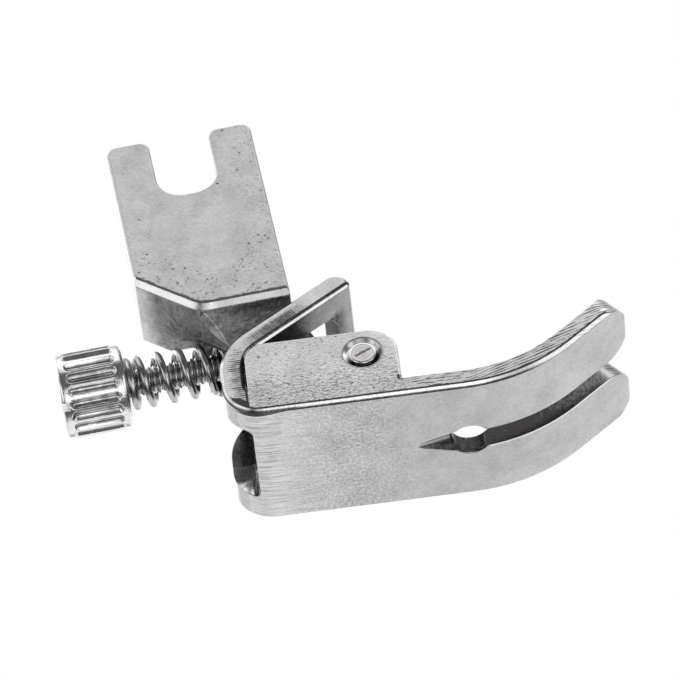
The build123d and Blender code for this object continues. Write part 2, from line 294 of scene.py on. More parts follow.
def ruled(tree, across, along, per_mm, wobble=0.2):
    """Crisp parallel marks, so many in a millimetre, that waver a little and fade in places."""
    laid = drawn_out(tree, across, along, 0.2)
    drift = total(tree, across, (grain(tree, laid, 1.4, 2.0), wobble))
    wave = sums(tree, "SINE", sums(tree, "MULTIPLY", drift, math.tau * per_mm))
    faded = mask(tree, grain(tree, laid, 3.0, 2.0), 0.34, 0.6)
    return both(tree, mask(tree, wave, -0.1, 0.9), faded)


def pits(tree, vector, scale, share, radius):
    """Round pits: a share of a Voronoi pattern's cells, each with a spot of its own size."""
    inputs = {"Vector": vector, "Scale": scale, "Randomness": 1.0}
    cells = add(tree, "ShaderNodeTexVoronoi", inputs)
    chance = parts_of(tree, cells.outputs["Color"])
    chosen = sums(tree, "LESS_THAN", chance[0], share)
    size = sums(tree, "MULTIPLY", total(tree, 0.3, (chance[1], 0.7)), radius * scale)
    return both(tree, mask(tree, cells.outputs["Distance"], size, 0.0), chosen)


print("pattern helpers ready")

# %% [markdown]
# ## What every finish shares
# Nickel and steel are bare metals, so their colour is the colour of what they mirror. Each finish
# is a tone between a dark and a light grey, a roughness, and a fine relief. Real edges are never
# quite sharp: a Bevel node rounds them in the shading, and leaves the solid as it is.

# %% Helpers that finish a material
DARK_HUE = (1.0, 0.945, 0.94)
LIGHT_HUE = (1.0, 0.986, 0.992)


def blank_finish(name, metallic=1.0):
    """A material with one shader, a bare metal unless told otherwise, and its node tree."""
    material = bpy.data.materials.new(name)
    material.use_nodes = True
    tree = material.node_tree
    shader = tree.nodes["Principled BSDF"]
    shader.inputs["Metallic"].default_value = metallic
    return material, tree, shader


def tint(tree, amount, dark, light):
    """A grey with a little warmth, between a dark and a light one."""
    made = add(tree, "ShaderNodeMix", data_type="RGBA")
    tree.links.new(amount, made.inputs[0])
    # Sockets 6, 7 and 2 are the node's two colours and their mix.
    made.inputs[6].default_value = (*[dark * part for part in DARK_HUE], 1)
    made.inputs[7].default_value = (*[light * part for part in LIGHT_HUE], 1)
    return made.outputs[2]


def toned(tree, start, masks, weights):
    """A tone that each named mask makes lighter or darker by its weight."""
    return total(tree, start, *((masks[name], weight) for name, weight in weights.items()))


def shade(tree, shader, tone, dark, light, rough):
    """Join a tone from 0 to 1 and a roughness to the shader."""
    tree.links.new(tint(tree, tone, dark, light), shader.inputs["Base Color"])
    tree.links.new(rough, shader.inputs["Roughness"])


def eased_edges(tree, radius):
    """A surface direction that rounds edges by a radius in millimetres, and a mask of the edges."""
    eased = add(tree, "ShaderNodeBevel", {"Radius": radius * MM}, samples=8).outputs[0]
    plain = add(tree, "ShaderNodeNewGeometry").outputs["Normal"]
    return eased, mask(tree, vectors(tree, "DOT_PRODUCT", eased, plain), 0.993, 0.95)


def relief(tree, shader, height, depth, strength, eased):
    """Bump from a height, with a depth in millimetres, over the eased edges."""
    inputs = {"Height": height, "Distance": depth * MM, "Strength": strength, "Normal": eased}
    bump = add(tree, "ShaderNodeBump", inputs)
    tree.links.new(bump.outputs[0], shader.inputs["Normal"])


def dress(piece, material):
    """Give a piece one material."""
    piece.data.materials.clear()
    piece.data.materials.append(material)


print("finish helpers ready")

# %% [markdown]
# ## The shank's finish: ground nickel on a cast skin
# The shank is cast, ground flat on its clamp face and plated, so the nickel is satin and shows small
# pits, thicker towards the lower edge. Under the block the cast skin was never ground: it is mottled
# and rough, and darker, partly as cast skin and partly as painted shade under the block. Paint on an
# image could do this, but noise in millimetres follows the solid round its corners, and the surface's
# own direction says which finish it has.

# %% Measures of the shank in millimetres, and its tones
GROUND_EDGE = -5.85
BLOCK_UNDERSIDE = -2.7
SHANK_FOOT = [(-5.45, 0.85, 0.0), (-1.3, -2.75, 2.2), (5.45, -2.75, 0.0)]
SHANK_BEVEL = 0.4
RIDGE_SLANT, RIDGE_PLACE = -0.56, 2.2
SCREW_AXIS = (0, 0, -3.2)
SPRING_SEAT = 2.75
CLAMP_MIDDLE = (0.2, -6.3, 4.2)
# Painted light in these tones: highlights at the facet's far end, on a slanted ridge and beside it, on
# the bevel, on the boss's edges and on the rim of the spring's hole. Painted shade: the dark line over
# the bevel, the hole the spring sits in, and part of the darkness under the block. The bevel is also
# darker on its right half.
SHANK_TONES = {
    "facet": -0.14, "facet_end_highlight": 0.6, "below": -0.12, "beyond_ridge_light": 0.03, "ridge": 0.5,
    "line": -0.62, "bevel": 0.4, "bevel_right_half": -0.56, "pit": -0.3,
    "boss_edge_highlight": 0.5, "spring_hole_shade": -0.25, "spring_rim_highlight": 0.2,
}
print("shank masks:", ", ".join(SHANK_TONES))

# %% Faces and edges of the shank


def shank_faces(tree, place, way):
    """Masks for the ground face, the facet under the fork and the rough skin below the block."""
    behind_face = mask(tree, place["Y"], GROUND_EDGE - 0.05, GROUND_EDGE + 0.05)
    downward = mask(tree, way["Z"], -0.15, -0.4)
    low = mask(tree, place["Z"], BLOCK_UNDERSIDE, BLOCK_UNDERSIDE - 0.2)
    facet = both(tree, downward, mask(tree, way["X"], -0.3, -0.5), behind_face)
    hidden = both(tree, any_of(tree, downward, low), behind_face)
    return dict(
        face=mask(tree, way["Y"], -0.9, -0.97),
        facet=facet,
        # the far end of the facet gets a painted highlight
        facet_end_highlight=both(tree, facet, mask(tree, place["X"], -4.0, -5.4)),
        hidden=hidden,
        # the underside of the block: cast skin, painted darker also as shade under the block
        below=without(tree, hidden, facet),
    )


def shank_edges(tree, at, place, way, on):
    """Masks for the bevel below the ground face, painted lighter, the painted dark line over it and a
    painted slanted ridge.
    """
    depth = inset(tree, place, SHANK_FOOT)
    ragged = total(tree, depth, (swing(tree, grain(tree, at, 2.5, 3.0)), 0.3))
    over_bevel = between(tree, ragged, SHANK_BEVEL - 0.02, SHANK_BEVEL + 0.22, 0.06)
    # the bevel is painted lighter as a highlight, and darker again on its right half
    bevel = both(tree, between(tree, way["Y"], -0.82, -0.55, 0.08), mask(tree, depth, 0.6, 0.5))
    slant = total(tree, place["X"], (place["Y"], RIDGE_SLANT))
    flat_below = both(tree, on["below"], mask(tree, place["Y"], -1.9, -2.3))
    on_ridge = between(tree, slant, RIDGE_PLACE - 0.04, RIDGE_PLACE + 0.05, 0.04)
    beyond_ridge = mask(tree, slant, RIDGE_PLACE + 0.1, RIDGE_PLACE - 0.1)
    return dict(
        # a painted dark reflection along the top of the bevel
        line=both(tree, on["face"], over_bevel),
        bevel=bevel,
        bevel_right_half=both(tree, bevel, mask(tree, place["X"], -1.8, 0.5)),
        # a slanted ridge that the solid lacks is painted: a painted highlight on it, the flat beyond it
        # a little lighter
        beyond_ridge_light=both(tree, flat_below, beyond_ridge),
        ridge=both(tree, flat_below, on_ridge),
    )


def spring_seat(tree, at, place, on):
    """Masks for the painted shade in the hole that the spring sits in, and the painted highlight on its
    rim.
    """
    in_hole = both(tree, on["hidden"], between(tree, place["X"], -1.9, 0.4, 0.4))
    off_screw = off_axis(tree, at, SCREW_AXIS, "X")
    rim = between(tree, off_screw, SPRING_SEAT - 0.07, SPRING_SEAT + 0.09, 0.06)
    return dict(
        # painted shade deep in the spring's hole, and a painted highlight on its rim
        spring_hole_shade=both(tree, in_hole, mask(tree, off_screw, SPRING_SEAT, SPRING_SEAT - 0.2)),
        spring_rim_highlight=both(tree, in_hole, rim),
    )


print("shank faces ready")

# %% Cast nickel for the shank


def shank_pits(tree, at, place, on):
    """Pits on the ground face: thick at its foot and right edge, none in its middle."""
    near_foot = mask(tree, place["Z"], 8.0, -1.5)
    near_edge = sums(tree, "MULTIPLY", mask(tree, place["X"], 3.0, 5.3), 0.7)
    share = total(tree, 0.12, (any_of(tree, near_foot, near_edge), 0.88))
    off_middle = vectors(tree, "LENGTH", vectors(tree, "SUBTRACT", at, CLAMP_MIDDLE))
    patches = mask(tree, grain(tree, at, 0.8, 2.0), 0.36, 0.6)
    gather = both(tree, patches, share, mask(tree, off_middle, 2.8, 4.4))
    worn = both(tree, mask(tree, grain(tree, at, 5.0, 2.0), 0.6, 0.7), gather)
    round_pits = pits(tree, at, 2.4, sums(tree, "MULTIPLY", gather, 0.5), 0.16)
    return both(tree, any_of(tree, worn, round_pits), on["face"])


def cast_nickel():
    material, tree, shader = blank_finish("cast_nickel")
    at = millimetres(tree)
    place, way = parts_of(tree, at), parts_of(tree, facing(tree))
    on = shank_faces(tree, place, way)
    on |= shank_edges(tree, at, place, way, on)
    on |= spring_seat(tree, at, place, on)
    on["pit"] = shank_pits(tree, at, place, on)
    eased, edge_highlight = eased_edges(tree, 0.14)
    # a painted highlight on the edges of the boss under the block
    on["boss_edge_highlight"] = both(tree, edge_highlight, on["hidden"], mask(tree, place["X"], -0.9, -0.4))

    skin = grain(tree, at, 4.5, 4.0)
    cloud = grain(tree, at, 0.5, 3.0)
    blotch = mask(tree, grain(tree, at, 2.2, 5.0), 0.32, 0.68)
    mottled = total(tree, 0.0, (on["facet"], 0.22), (on["below"], 0.26))
    tone = total(tree, 0.5, (swing(tree, cloud), 0.4), (swing(tree, skin), 0.45))
    tone = total(tree, tone, (mottled, swing(tree, blotch)))
    tone = toned(tree, tone, on, SHANK_TONES)
    rough = total(tree, 0.2, (skin, 0.16), (on["pit"], 0.15), (on["hidden"], 0.14), (on["bevel"], -0.1))
    shade(tree, shader, tone, 0.1, 0.82, rough)
    height = total(tree, 0.0, (skin, 0.5), (on["pit"], -1.0), (both(tree, on["hidden"], blotch), 1.5))
    relief(tree, shader, height, 0.03, 0.8, eased)
    return material


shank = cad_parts["shank"]
dress(shank, cast_nickel())
print("shank dressed:", len(shank.data.polygons), "faces")

# %% [markdown]
# ## The shoe's finish: brushed four ways
# Each face of the shoe was ground on its own: the sole lengthwise at the heel, the straps across,
# the toes' sides on a slant, and the ears were left with fine pits. The slit, cut by a saw, the needle
# hole and the heel slot get painted shade, and the cut faces are darker as unpolished metal too. One
# material can do all this. The point is first turned back by the toes' droop about the hinge, so that
# its place can be compared with the drawing of the flat shoe.

# %% Where a point lies on the flat shoe
HINGE = (9.53, 0.0, -9.7)
TOE_DROOP = math.radians(4.74)


def on_flat_shoe(tree):
    """A point's place and direction on the shoe as drawn: flat, with the hinge at its origin."""
    spin = {"Axis": (0, 1, 0), "Angle": -TOE_DROOP}
    inputs = {"Vector": millimetres(tree), "Center": HINGE, **spin}
    turned = add(tree, "ShaderNodeVectorRotate", inputs).outputs[0]
    way = add(tree, "ShaderNodeVectorRotate", {"Vector": facing(tree), **spin}).outputs[0]
    return vectors(tree, "SUBTRACT", turned, HINGE), way


print("toes droop by", round(math.degrees(TOE_DROOP), 2), "degrees")

# %% Measures of the shoe in millimetres, and its tones
STRIP = 1.68
BEVEL = 0.25
HALF_SHOE = 6.05
SOLE, HEEL = -4.36, -10.41
ARM_RISE = math.radians(33.4)
ARM_CORNER = 2.09
ARM_LOWEST, ARM_NOSE = -1.0, 3.0
ARM_OUTLINE = [(-1.06, 8.256, 0.0), (HEEL, ARM_CORNER, 4.4), (HEEL, SOLE, 0.0)]
TOE_BEND, TOE_TIP = (11.476, SOLE, 13.0), (19.35, 1.792, 0.0)
SOLE_OUTLINE = [(HEEL, ARM_CORNER, 0.0), (HEEL, SOLE, 2.8), TOE_BEND, TOE_TIP]
STRAP_FRONT = -8.5
SEAM = HEEL + STRIP + 0.06
EAR_FOOT = (2.52, 0.0, SOLE + STRIP - 0.06)
DISH_RADIUS = 1.42
NEEDLE, NEEDLE_RADIUS = (7.05, 0, 0), 1.52
SLIT_HALF = 0.91
GROOVE_START, GROOVE_END, GROOVE_HEIGHT = 2.9, 7.0, 0.86
SLOT_HALF = 3.7
HEEL_SLOT_FRONT = HEEL + STRIP + 0.15
ARM_SLOT_END = 9.6
HOLLOW_FRONT, HOLLOW_TOP = -9.1, SOLE + 1.9
# Painted light in these tones: highlights on the bevels, the edges, the slit's edge, the hinge dish and
# the hollow in the heel slot, and the cut faces lighter towards the toe tip. Painted shade: the dark
# lines beside the bevels, the middle of the arm, the strap by its seam, the cut faces, the slot walls,
# the arm's underside, the corner below the ear, and the dish's low side and edge.
SHOE_TONES = {
    "speckle": 0.9, "marks": -0.5, "dent": -0.12, "pit": -0.35, "edge_highlight": 0.3,
    "mid_arm": -0.42, "seam_shade": -0.24, "at_heel": 0.26, "rim": 0.2, "lines": -0.75,
    "sawn_and_shaded": -0.68, "streaks": 0.08, "out_of_slit": 0.22, "slit_edge_highlight": 0.5,
    "covered_shade": -0.52, "glint": 1.0, "crack": -0.8, "ear_foot_shade": -0.8, "seam": -0.8,
    "dish": 0.35, "low_dish_shade": -1.0, "dish_line": -0.35,
}
print("shoe masks:", ", ".join(SHOE_TONES))

# %% Faces of the shoe


def shoe_places(tree, place, way):
    """How far aside, how deep in the strip and how far along the arm a point lies."""
    high = sums(tree, "GREATER_THAN", place["Z"], ARM_LOWEST)
    upper = both(tree, high, sums(tree, "LESS_THAN", place["X"], ARM_NOSE))
    aside = sums(tree, "ABSOLUTE", place["Y"])
    from_heel = sums(tree, "SUBTRACT", place["X"], HEEL)
    from_corner = sums(tree, "SUBTRACT", place["Z"], ARM_CORNER)
    return dict(
        upper=upper,
        aside=aside,
        outer=mask(tree, aside, HALF_SHOE - 0.5, HALF_SHOE - 0.4),
        facing_out=sums(tree, "ABSOLUTE", way["Y"]),
        near_side=sums(tree, "LESS_THAN", place["Y"], 0.0),
        depth=either(tree, upper, inset(tree, place, ARM_OUTLINE), inset(tree, place, SOLE_OUTLINE)),
        along=total(tree, 0.0, (from_heel, math.cos(ARM_RISE)), (from_corner, math.sin(ARM_RISE))),
    )


def shoe_faces(tree, place, way, on):
    """Masks for the parts of the shoe that were ground in different ways."""
    outermost = mask(tree, on["aside"], HALF_SHOE - 0.15, HALF_SHOE - 0.05)
    side = both(tree, mask(tree, on["facing_out"], 0.86, 0.93), outermost)
    by_side = mask(tree, on["aside"], HALF_SHOE - 0.35, HALF_SHOE - 0.27)
    rim = both(tree, between(tree, on["facing_out"], 0.6, 0.8, 0.07), by_side)
    strip = both(tree, side, mask(tree, on["depth"], STRIP + 0.03, STRIP - 0.01))
    arm = both(tree, strip, on["upper"], mask(tree, on["along"], 0.6, 1.8))
    at_strap = mask(tree, place["X"], STRAP_FRONT, STRAP_FRONT - 0.15)
    strap = without(tree, both(tree, strip, at_strap), arm)
    toe_end = both(tree, mask(tree, place["X"], 15.0, 16.0), mask(tree, way["Z"], -0.65, -0.45))
    toe_end = both(tree, toe_end, mask(tree, on["aside"], SLIT_HALF + 0.1, SLIT_HALF + 0.3))
    front = both(tree, any_of(tree, side, toe_end), mask(tree, place["X"], 2.5, 3.5))
    ear = without(tree, side, arm, strap, front)
    under = without(tree, mask(tree, way["Z"], -0.7, -0.78), on["upper"])
    return dict(side=side, rim=rim, arm=arm, strap=strap, front=front, ear=ear, under=under)


def shaded_parts(tree, place, on):
    """Masks for the painted shade on the middle of the arm and on the strap by its seam, and for the
    heel end of the sole, which is lighter.
    """
    mid_arm = both(tree, on["arm"], between(tree, on["along"], 2.4, 6.6, 1.4))
    seam_shade = both(tree, on["strap"], between(tree, place["Z"], -2.6, 0.9, 0.5))
    return dict(
        # painted shade on the middle of the arm and on the strap by its seam
        mid_arm=both(tree, mid_arm, mask(tree, on["depth"], 0.4, 0.8)),
        seam_shade=both(tree, seam_shade, mask(tree, on["depth"], 0.55, 1.15)),
        at_heel=both(tree, on["under"], mask(tree, place["X"], -1.5, -8.0)),
    )


print("shoe faces ready")

# %% [markdown]
# ### Openings of the shoe
# No polishing wheel reaches into a saw cut or a drilled hole, so these walls are duller; they are
# painted darker, for that and as painted shade in the cut.
# A bowl in the relief and a painted highlight make the small bright hollow low in the heel slot's
# far wall.

# %% Sawn, drilled and covered faces


def sawn_faces(tree, at, place, on):
    """Masks for the needle hole, the slit and the thread groove, darker as cut faces and as painted
    shade, and for what varies in them.
    """
    above_sole = mask(tree, place["Z"], SOLE + 0.01, SOLE + 0.08)
    off_needle = off_axis(tree, at, NEEDLE, "Z")
    hole = both(tree, mask(tree, off_needle, NEEDLE_RADIUS + 0.08, NEEDLE_RADIUS), above_sole)
    in_slit = mask(tree, on["aside"], SLIT_HALF + 0.05, SLIT_HALF)
    slit = both(tree, in_slit, mask(tree, place["X"], GROOVE_END, GROOVE_END + 0.4))
    groove = both(
        tree, mask(tree, on["aside"], 1.1, 1.0),
        between(tree, place["X"], GROOVE_START, GROOVE_END, 0.1),
        between(tree, place["Z"], SOLE + 0.03, SOLE + GROOVE_HEIGHT, 0.02),
        # one flank of the groove gets more painted shade than the other
        total(tree, 0.2, (mask(tree, place["Y"], 0.1, 0.6), 0.7)),
    )
    # the toe tip's corner by the slit gets painted shade over its highlight
    tip_corner = both(
        tree, mask(tree, place["X"], 15.8, 16.6),
        mask(tree, on["aside"], 3.3, 2.5),
        mask(tree, on["facing_out"], 0.1, 0.4),
    )
    # the cut faces: darker as unpolished metal and as painted shade
    sawn_and_shaded = any_of(tree, hole, slit, groove, sums(tree, "MULTIPLY", tip_corner, 0.5))
    by_slit = between(tree, place["Y"], SLIT_HALF, SLIT_HALF + 0.15, 0.03)
    return dict(
        sawn_and_shaded=sawn_and_shaded,
        streaks=both(tree, sawn_and_shaded, strokes(tree, place["X"], place["Z"], 5.0, 0.15, 0.4, 0.65)),
        # painted light: the cut faces lighter towards the toe tip
        out_of_slit=both(tree, sawn_and_shaded, mask(tree, place["X"], 11.0, 18.0)),
        # a painted highlight along the slit's lower edge
        slit_edge_highlight=both(tree, on["under"], by_slit, mask(tree, place["X"], 8.2, 8.6)),
    )


def covered_faces(tree, place, way, on):
    """Masks for the painted shade on the slot's walls and the arm's underside, and the painted
    highlight and bowl of the hollow in the far wall.
    """
    in_slot = mask(tree, on["aside"], SLOT_HALF + 0.04, SLOT_HALF)
    at_heel = mask(tree, place["X"], HEEL_SLOT_FRONT + 0.04, HEEL_SLOT_FRONT - 0.02)
    heel_slot = both(tree, in_slot, mask(tree, on["facing_out"], 0.6, 0.85), at_heel)
    low_wall = mask(tree, place["Z"], SOLE + 3.6, SOLE + 3.2)
    # painted shade in the heel slot, deeper on its lower wall
    heel_walls = both(tree, heel_slot, total(tree, 0.42, (low_wall, 0.45)))
    arm_slot = both(
        tree, on["upper"], in_slot,
        mask(tree, on["along"], ARM_SLOT_END + 0.04, ARM_SLOT_END),
        mask(tree, on["depth"], STRIP + 0.1, STRIP + 0.02),
    )
    below_arm = both(tree, mask(tree, way["Z"], -0.4, -0.6), on["upper"])
    below_arm = without(tree, below_arm, on["rim"])
    slot_end = between(tree, on["along"], 9.0, 10.2, 0.6)
    slot_end = both(tree, below_arm, slot_end, mask(tree, on["aside"], 4.6, 3.4))
    lower_arm = any_of(tree, both(tree, below_arm, mask(tree, on["along"], 11.5, 5.0)), slot_end)
    # painted shade under the arm, deeper towards the heel and at the slot's end
    under_arm = total(tree, 0.0, (below_arm, 0.35), (lower_arm, 0.55))
    far_wall = without(tree, heel_slot, on["near_side"])
    behind = sums(tree, "SUBTRACT", place["X"], HOLLOW_FRONT)
    beneath = sums(tree, "SUBTRACT", place["Z"], HOLLOW_TOP)
    in_hollow = both(tree, mask(tree, behind, 0.1, -0.1), mask(tree, beneath, 0.1, -0.4))
    inwards = [sums(tree, "MINIMUM", offset, 0.0) for offset in (behind, beneath)]
    bowl = total(tree, 0.0, *zip(inwards, inwards))
    return dict(
        covered_shade=any_of(tree, heel_walls, arm_slot, under_arm),
        # a painted highlight in the far wall's hollow, beside the bowl in the relief
        glint=both(tree, far_wall, in_hollow),
        hollow=both(tree, far_wall, bowl),
    )


print("shoe openings ready")

# %% [markdown]
# ### Marks and lines on the shoe
# A grinding belt leaves fine parallel marks, and beside each bevel runs a thin dark line where the
# edge mirrors the dark of the room. Light alone gives only part of that line, so the rest is a painted
# reflection, drawn by depth from the outline to keep it even round every bend.

# %% Grinding marks, dents and pits


def grinding_marks(tree, place, on):
    """Marks across the arm and the straps, on a slant on the toes, and lengthwise at the heel."""
    arm_marks = ruled(tree, on["along"], on["depth"], 5.5)
    strap_marks = ruled(tree, place["Z"], place["X"], 5.0)
    inner_strap = both(tree, on["strap"], mask(tree, on["depth"], 0.3, 0.9))
    level = strokes(tree, place["Z"], place["X"], 7.0, 0.14, 0.52, 0.66)
    hatch = ruled(tree, total(tree, place["Z"], (place["X"], -0.36)), place["X"], 4.2, 0.35)
    front_marks = either(tree, mask(tree, place["X"], 6.5, 9.0), hatch, level)
    heel_marks = strokes(tree, place["Y"], place["X"], 8.0, 0.04, 0.44, 0.72)
    return total(
        tree, both(tree, on["mid_arm"], arm_marks),
        (both(tree, inner_strap, strap_marks), 1.05),
        (both(tree, on["front"], front_marks), 1.0),
        (both(tree, on["at_heel"], heel_marks), 0.74),
    )


def ear_dents(tree, at, place, on):
    """Dents and pits on the ears, thicker below, and the waves between them."""
    lower = mask(tree, place["Z"], 0.8, -3.4)
    hammered = grain(tree, at, 4.6, 2.0, stretch=(0.65, 1.0, 1.15))
    dents = mask(tree, total(tree, hammered, (lower, 0.07)), 0.62, 0.72)
    round_pits = pits(tree, at, 2.8, total(tree, 0.06, (lower, 0.35)), 0.15)
    return dict(
        dent=both(tree, dents, on["ear"]),
        pit=both(tree, round_pits, on["ear"]),
        wave=both(tree, on["ear"], hammered, total(tree, 0.6, (lower, 1.6))),
    )


print("shoe marks ready")

# %% Lines, seam and hinge dish


def painted_bevel_lines(tree, place, on):
    """Painted dark reflections beside the bevels, and the two painted shadows of the lip at the heel.
    """
    outside = mask(tree, on["depth"], 0.2, 0.15)
    foot = both(tree, on["side"], between(tree, on["depth"], BEVEL - 0.03, BEVEL + 0.14, 0.05))
    foot = both(tree, without(tree, foot, on["upper"]), mask(tree, place["X"], -9.0, -8.7))
    arm_bevel = STRIP - BEVEL
    on_arm = between(tree, on["depth"], arm_bevel - 0.12, arm_bevel + 0.02, 0.04)
    on_rim = mask(tree, on["depth"], arm_bevel + 0.12, arm_bevel + 0.09)
    on_rim = both(tree, on_rim, on["rim"], on["upper"], mask(tree, on["along"], 1.4, 2.0))
    arm = sums(tree, "ADD", both(tree, on["arm"], on_arm), on_rim)
    sole_bevel = HALF_SHOE - BEVEL
    sole = between(tree, on["aside"], sole_bevel - 0.07, sole_bevel + 0.09, 0.04)
    sole = both(tree, sole, on["near_side"], outside, mask(tree, place["X"], 14.0, 10.5))
    sole = without(tree, sole, on["upper"])

    lip_width = sums(tree, "MULTIPLY", mask(tree, place["X"], -10.1, -8.9), 0.55)
    lip = mask(tree, sums(tree, "SUBTRACT", on["depth"], lip_width), BEVEL + 0.04, BEVEL - 0.04)
    lip = both(tree, lip, on["strap"], mask(tree, place["X"], -10.1, -9.6))
    lip = both(tree, lip, mask(tree, place["Z"], -1.5, -2.2))
    from_bevel = sums(tree, "SUBTRACT", HALF_SHOE - 0.18, on["aside"])
    lens_width = sums(tree, "MULTIPLY", mask(tree, place["X"], -4.5, -8.6), 0.45)
    lens = mask(tree, sums(tree, "SUBTRACT", from_bevel, lens_width), 0.05, -0.05)
    lens = both(tree, lens, on["near_side"], outside, mask(tree, from_bevel, -0.1, -0.02))
    lens = both(tree, lens, between(tree, place["X"], -9.5, -5.0, 0.4))
    return any_of(tree, foot, arm, sole, lens, lip)


def seam_and_corners(tree, at, place, on):
    """The seam between strap and ear, the crack at its end, and painted shade at the corner below the
    ear.
    """
    at_end = mask(tree, place["X"], STRAP_FRONT - 0.05, STRAP_FRONT - 0.1)
    crack = both(tree, on["rim"], at_end, mask(tree, on["depth"], STRIP - 0.35, STRIP - 0.25))
    seam = both(tree, on["side"], between(tree, place["X"], SEAM - 0.08, SEAM + 0.08, 0.03))
    seam = both(tree, seam, between(tree, place["Z"], SOLE + 0.5, ARM_LOWEST + 0.1, 0.1))
    # painted shade round a small spot at the corner below the ear
    ear_foot_shade = mask(tree, off_axis(tree, at, EAR_FOOT, "Y"), 0.36, 0.22)
    return dict(crack=crack, seam=seam, ear_foot_shade=both(tree, on["side"], ear_foot_shade))


def hinge_dish(tree, at, place, on):
    """The countersunk dish round the pin: a painted highlight, painted shade on its low side, and a
    thin painted dark edge.
    """
    off_hinge = off_axis(tree, at, (0, 0, 0), "Y")
    # the dish is painted lighter as a highlight
    dish = both(tree, on["outer"], mask(tree, off_hinge, DISH_RADIUS, DISH_RADIUS - 0.04))
    low_side = mask(tree, total(tree, place["Z"], (place["X"], -0.35)), 0.5, -0.5)
    edge = between(tree, off_hinge, DISH_RADIUS, DISH_RADIUS + 0.1, 0.03)
    # painted shade on the dish's low side and a thin painted dark line at its edge
    low_dish_shade, dish_line = both(tree, dish, low_side), both(tree, on["side"], edge)
    return dict(dish=dish, low_dish_shade=low_dish_shade, dish_line=dish_line)


print("shoe lines ready")

# %% Brushed nickel for the shoe


def brushed_nickel():
    material, tree, shader = blank_finish("brushed_nickel")
    at, way = on_flat_shoe(tree)
    place, way = parts_of(tree, at), parts_of(tree, way)
    on = shoe_places(tree, place, way)
    on |= shoe_faces(tree, place, way, on)
    on |= shaded_parts(tree, place, on)
    on |= sawn_faces(tree, at, place, on)
    on |= covered_faces(tree, place, way, on)
    on |= ear_dents(tree, at, place, on)
    on |= seam_and_corners(tree, at, place, on)
    on |= hinge_dish(tree, at, place, on)
    on["marks"] = grinding_marks(tree, place, on)
    # painted dark reflections beside the bevels and painted shadows of the heel's lip
    on["lines"] = painted_bevel_lines(tree, place, on)
    mid_sole = both(tree, on["under"], between(tree, place["X"], -6.0, 1.5, 2.5))
    flecks = swing(tree, grain(tree, at, 4.6, 2.0))
    on["speckle"] = both(tree, flecks, total(tree, 0.3, (mid_sole, 0.7)))
    eased, edge_highlight = eased_edges(tree, 0.11)
    strip_rim = both(tree, on["outer"], mask(tree, on["depth"], STRIP + 0.05, STRIP))
    # a painted highlight along the edges, kept off the strip's rim
    on["edge_highlight"] = without(tree, edge_highlight, strip_rim)

    skin = grain(tree, at, 4.5, 4.0)
    cloud = grain(tree, at, 0.45, 3.0)
    tone = total(tree, 0.58, (swing(tree, cloud), 0.36), (swing(tree, skin), 0.3))
    tone = toned(tree, tone, on, SHOE_TONES)
    rough = total(tree, 0.17, (skin, 0.14))
    rough = toned(tree, rough, on, {"under": 0.06, "rim": -0.08, "covered_shade": 0.1, "glint": -0.05})
    shade(tree, shader, tone, 0.05, 0.86, rough)
    height = total(tree, 0.0, (skin, 0.35))
    depths = {"marks": -0.5, "pit": -1.0, "dent": -1.0, "wave": 1.0, "hollow": -16.0}
    relief(tree, shader, toned(tree, height, on, depths), 0.03, 0.9, eased)
    return material


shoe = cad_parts["shoe"]
dress(shoe, brushed_nickel())
print("shoe dressed:", len(shoe.data.polygons), "faces")

# %% [markdown]
# ## The hinge pin's finish
# The pin was turned, so its ends carry fine rings about its own axis. The distance from the axis,
# fed to a noise, gives rings that stay on the pin when the shoe tilts.

# %% Turned steel for the pin
PIN_RADIUS = 1.0


def turned_steel():
    material, tree, shader = blank_finish("turned_steel")
    at = millimetres(tree)
    radius = off_axis(tree, at, HINGE, "Y")
    rings = strokes(tree, radius, radius, 7.0, 0.0, 0.4, 0.66)
    skin = grain(tree, at, 4.0)
    # a painted highlight round the pin's outer edge
    rim = mask(tree, radius, PIN_RADIUS - 0.2, PIN_RADIUS - 0.1)
    tone = total(tree, 0.42, (rings, -0.15), (swing(tree, skin), 0.5), (rim, 0.5))
    shade(tree, shader, tone, 0.3, 0.92, total(tree, 0.16, (skin, 0.14)))
    relief(tree, shader, total(tree, rings, (skin, 1.0)), 0.012, 0.6, eased_edges(tree, 0.1)[0])
    return material


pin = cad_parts["hinge_pin"]
dress(pin, turned_steel())
print("pin dressed:", len(pin.data.polygons), "faces")

# %% [markdown]
# ## The adjusting screw: head, slot and thread
# The CAD screw has a plain shaft, because a cut thread is heavy and no use to a collision model.
# Here the head and the shaft are two skins of rings along X, with a radius for each angle and step.
# On the head the radius dips into flutes; on the shaft it rises and falls once in a pitch, and that
# wave moves round with the angle, which is what makes a thread. A boolean cuts the driver's slot.

# %% Measures of the screw
screw_low, screw_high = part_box("adjusting_screw")
AXIS_Z = (screw_low.z + screw_high.z) / 2
HEAD_RADIUS = (screw_high.z - screw_low.z) / 2
HEAD_BACK = screw_low.x
HEAD_LENGTH = 5.03 * MM
HEAD_FRONT = HEAD_BACK + HEAD_LENGTH
HEAD_RIM = 0.35 * MM
SCREW_TIP = screw_high.x
SHAFT_RADIUS = 1.05 * MM
print("screw head:", round(HEAD_RADIUS / MM, 2), "mm in radius, axis at", round(AXIS_Z / MM, 2))

# %% Skin a row of rings


def soft_step(value, low, high):
    """The same soft step as the mask node, for use in mesh code."""
    t = min(1.0, max(0.0, (value - low) / (high - low)))
    return t * t * (3 - 2 * t)


def round_axis(x, radius, angle):
    """A point at a radius and an angle round the screw's axis."""
    return Vector((x, radius * math.sin(angle), AXIS_Z + radius * math.cos(angle)))


def ring_at(x, radius_at, count):
    """One ring of points round the screw's axis."""
    angles = [math.tau * k / count for k in range(count)]
    return [round_axis(x, radius_at(a), a) for a in angles]


